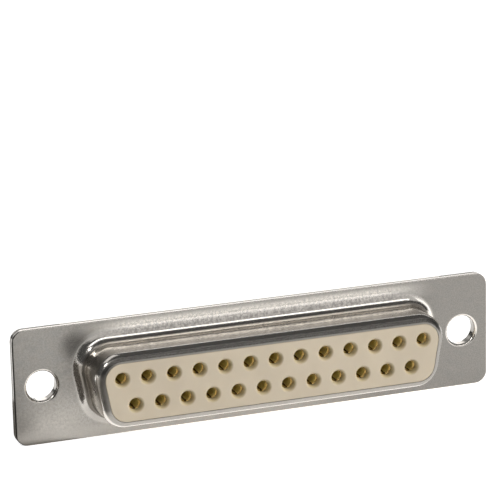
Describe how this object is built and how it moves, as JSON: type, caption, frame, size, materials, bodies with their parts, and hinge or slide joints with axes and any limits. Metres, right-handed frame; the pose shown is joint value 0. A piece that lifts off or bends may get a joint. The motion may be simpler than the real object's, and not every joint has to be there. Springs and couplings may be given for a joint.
{
  "type": "d-sub connector",
  "caption": "D-sub socket connector with a two-row D-shaped mating face in a tinned flange with two screw holes, and straight gold board pins.",
  "frame": {"origin": "centre of the flange's front face, which is the plane that meets a panel", "axes": "-Y is the mating direction, +Y points to the pin tips, +Z to the row of thirteen sockets, X runs along the connector"},
  "size_m": [0.053, 0.0161, 0.0124],
  "materials": {
    "front_shell_tin": "bright tin plate on drawn sheet steel, satin on the flange and glossy on the cup",
    "rear_shell_tin": "bright tin plate on drawn sheet steel",
    "front_cream_plastic": "satin moulded thermoplastic, cream",
    "rear_cream_plastic": "satin moulded thermoplastic, cream",
    "gold_contact": "turned brass, gold plated"
  },
  "bodies": {
    "root": {"front_shell": "front_shell_tin", "rear_shell": "rear_shell_tin", "front_insulator": "front_cream_plastic", "rear_insulator": "rear_cream_plastic", "contact_01": "gold_contact", "contact_02": "gold_contact", "contact_03": "gold_contact", "contact_04": "gold_contact", "contact_05": "gold_contact", "contact_06": "gold_contact", "contact_07": "gold_contact", "contact_08": "gold_contact", "contact_09": "gold_contact", "contact_10": "gold_contact", "contact_11": "gold_contact", "contact_12": "gold_contact", "contact_13": "gold_contact", "contact_14": "gold_contact", "contact_15": "gold_contact", "contact_16": "gold_contact", "contact_17": "gold_contact", "contact_18": "gold_contact", "contact_19": "gold_contact", "contact_20": "gold_contact", "contact_21": "gold_contact", "contact_22": "gold_contact", "contact_23": "gold_contact", "contact_24": "gold_contact", "contact_25": "gold_contact"}
  },
  "joints": []
}
